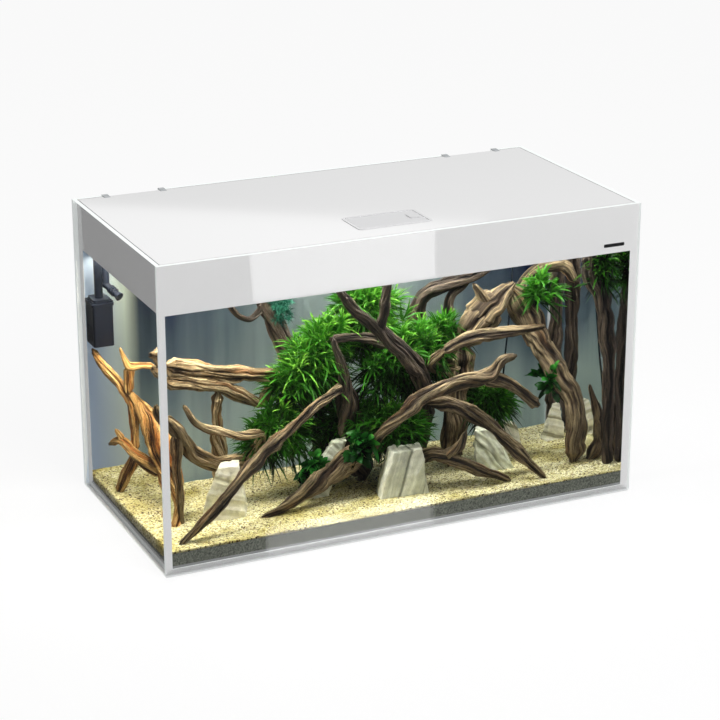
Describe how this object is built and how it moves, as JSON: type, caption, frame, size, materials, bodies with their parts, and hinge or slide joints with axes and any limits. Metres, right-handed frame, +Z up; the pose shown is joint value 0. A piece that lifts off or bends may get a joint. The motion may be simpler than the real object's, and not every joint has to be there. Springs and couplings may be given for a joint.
{
  "type": "planted glass aquarium",
  "caption": "Rectangular glass aquarium with a white lacquered frame, a hinged lamp cover with a feeding flap, an inside filter and a planted driftwood layout.",
  "frame": {"origin": "middle of the underside, on the surface that the tank stands on", "axes": "+X along the long side, to the right of someone who faces the front window; +Y to the rear; +Z up"},
  "size_m": [1, 0.49, 0.6103],
  "materials": {
    "float_glass": "polished float glass",
    "foam_mat": "closed cell foam",
    "silicone": "clear silicone",
    "white_lacquer": "gloss lacquer",
    "background": "printed background film",
    "marker": "printed bar",
    "white_abs": "moulded ABS",
    "white_pvc": "extruded PVC",
    "hinge_clip": "moulded clip",
    "steel_pin": "drawn wire",
    "lamp_tube": "opal lamp tube",
    "lamp_cap": "moulded cap",
    "filter_black": "moulded ABS",
    "impeller_grey": "moulded",
    "sponge": "open cell foam",
    "rubber_cup": "moulded rubber",
    "soil": "fine dark substrate",
    "gravel": "fine pale gravel",
    "rock": "split layered rock",
    "driftwood": "weathered root wood",
    "pale_driftwood": "weathered root wood",
    "fern": "living leaf",
    "broad_leaf": "living leaf",
    "moss": "living moss"
  },
  "bodies": {
    "tank": {"base_mat": "foam_mat", "bottom_pane": "float_glass", "front_pane": "float_glass", "rear_pane": "float_glass", "left_pane": "float_glass", "right_pane": "float_glass", "silicone_beads": "silicone", "front_lacquer": "white_lacquer", "side_lacquer": "white_lacquer", "rear_lacquer": "white_lacquer", "background_film": "background", "rim_braces": "float_glass", "cover_rests": "white_pvc", "marker_bar": "marker", "hinge_clips": "hinge_clip", "filter_box": "filter_black", "filter_lid": "filter_black", "filter_sponge": "sponge", "pump_housing": "filter_black", "riser_pipe": "filter_black", "filter_bracket": "filter_black", "suction_cups": "rubber_cup", "air_tube": "filter_black", "soil_layer": "soil", "gravel_bed": "gravel", "stone_left": "rock", "stone_leaning": "rock", "stone_striped": "rock", "stone_right": "rock", "stones_rear": "rock", "wood_left_high": "pale_driftwood", "wood_left_low": "pale_driftwood", "wood_long": "driftwood", "wood_low": "driftwood", "wood_back": "driftwood", "wood_forked": "driftwood", "wood_trunk": "driftwood", "wood_front_arch": "pale_driftwood", "wood_small": "driftwood", "wood_right": "driftwood", "side_roots": "pale_driftwood", "fern_centre": "fern", "fern_low": "fern", "fern_tufts": "fern", "leaf_plants": "broad_leaf", "moss_tuft": "moss"},
    "cover": {"cover_panel": "white_abs", "hinge_pins": "steel_pin", "hatch_frame": "white_abs", "flap_pin": "steel_pin", "front_lamp": "lamp_tube", "rear_lamp": "lamp_tube", "lamp_end_caps": "lamp_cap", "lamp_clips": "white_pvc"},
    "flap": {"feed_flap": "white_abs"},
    "catch": {"flap_catch": "white_abs"},
    "impeller": {"impeller": "impeller_grey"},
    "nozzle": {"outlet_nozzle": "filter_black"}
  },
  "joints": [
    {"name": "cover_hinge", "type": "hinge", "parent": "tank", "child": "cover", "pos_m": [0, 0.2291, 0.6055], "axis": [-1, 0, 0], "range_deg": [0, 80]},
    {"name": "flap_hinge", "type": "hinge", "parent": "cover", "child": "flap", "pos_m": [-0.0689, -0.1435, 0.6066], "axis": [0, -1, 0], "range_deg": [0, 92]},
    {"name": "catch_slide", "type": "slide", "parent": "flap", "child": "catch", "axis": [-1, 0, 0], "range_m": [0, 0.005], "stiffness_N_per_m": 120},
    {"name": "impeller_spin", "type": "hinge", "parent": "tank", "child": "impeller", "pos_m": [-0.4666, 0.2016, 0.385], "axis": [0, 0, 1], "continuous": true},
    {"name": "nozzle_turn", "type": "hinge", "parent": "tank", "child": "nozzle", "pos_m": [-0.4586, 0.1776, 0.54], "axis": [0, 0, 1], "range_deg": [-35, 35]}
  ]
}
